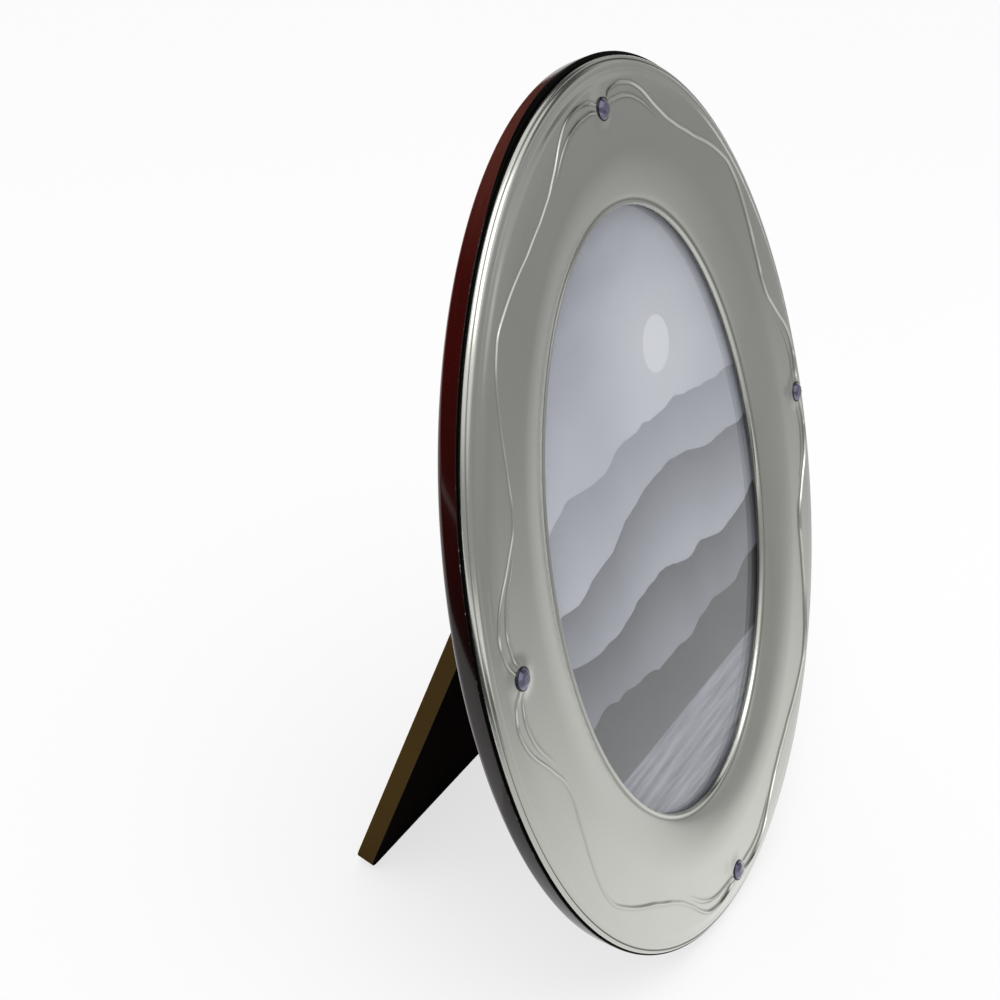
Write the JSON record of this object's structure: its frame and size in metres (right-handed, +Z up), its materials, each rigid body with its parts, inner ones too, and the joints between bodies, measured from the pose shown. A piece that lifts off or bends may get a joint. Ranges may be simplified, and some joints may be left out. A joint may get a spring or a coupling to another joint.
{
  "type": "oval picture frame",
  "caption": "Oval standing picture frame with an embossed silver front, small violet stones, a lacquered wooden ring and a hinged strut.",
  "frame": {"origin": "middle of the base box, on the table", "axes": "+X to the viewer's right across the face, +Y from the face to the back, +Z up"},
  "size_m": [0.2026, 0.107, 0.2444],
  "materials": {
    "silver": "polished",
    "core": "matte",
    "mahogany": "gloss lacquer",
    "glass": "clear",
    "print": "satin",
    "card": "matte",
    "panel": "dark stain, satin",
    "strut_board": "dark faces, brown cut edges",
    "brass": "polished",
    "crystal": "faceted, violet",
    "bezel_silver": "darkened"
  },
  "bodies": {
    "frame": {"silver_front": "silver", "resin_core": "core", "wood_ring": "mahogany", "glass_pane": "glass", "picture_print": "print", "backing_card": "card", "back_panel": "panel", "turn_button_screws": "brass", "hinge_leaf_panel": "brass", "hinge_pin": "brass", "hinge_screws_panel": "brass", "bezel_top": "bezel_silver", "bezel_right": "bezel_silver", "bezel_bottom": "bezel_silver", "bezel_left": "bezel_silver", "stone_top": "crystal", "stone_right": "crystal", "stone_bottom": "crystal", "stone_left": "crystal"},
    "strut": {"strut": "strut_board", "hinge_leaf_strut": "brass", "hinge_screws_strut": "brass"},
    "button_1": {"turn_button_1": "brass"},
    "button_2": {"turn_button_2": "brass"},
    "button_3": {"turn_button_3": "brass"},
    "button_4": {"turn_button_4": "brass"}
  },
  "joints": [
    {"name": "strut_hinge", "type": "hinge", "parent": "frame", "child": "strut", "pos_m": [0, -0.00045, 0.15198], "axis": [1, 0, 0], "range_deg": [-32.6, 0]},
    {"name": "button_1_turn", "type": "hinge", "parent": "frame", "child": "button_1", "pos_m": [0.06103, 0.00398, 0.17584], "axis": [0, -0.9659, 0.2588], "range_deg": [0, 90]},
    {"name": "button_2_turn", "type": "hinge", "parent": "frame", "child": "button_2", "pos_m": [-0.06103, 0.00398, 0.17584], "axis": [0, -0.9659, 0.2588], "range_deg": [-90, 0]},
    {"name": "button_3_turn", "type": "hinge", "parent": "frame", "child": "button_3", "pos_m": [-0.06103, -0.02557, 0.06558], "axis": [0, -0.9659, 0.2588], "range_deg": [0, 90]},
    {"name": "button_4_turn", "type": "hinge", "parent": "frame", "child": "button_4", "pos_m": [0.06103, -0.02557, 0.06558], "axis": [0, -0.9659, 0.2588], "range_deg": [-90, 0]}
  ]
}
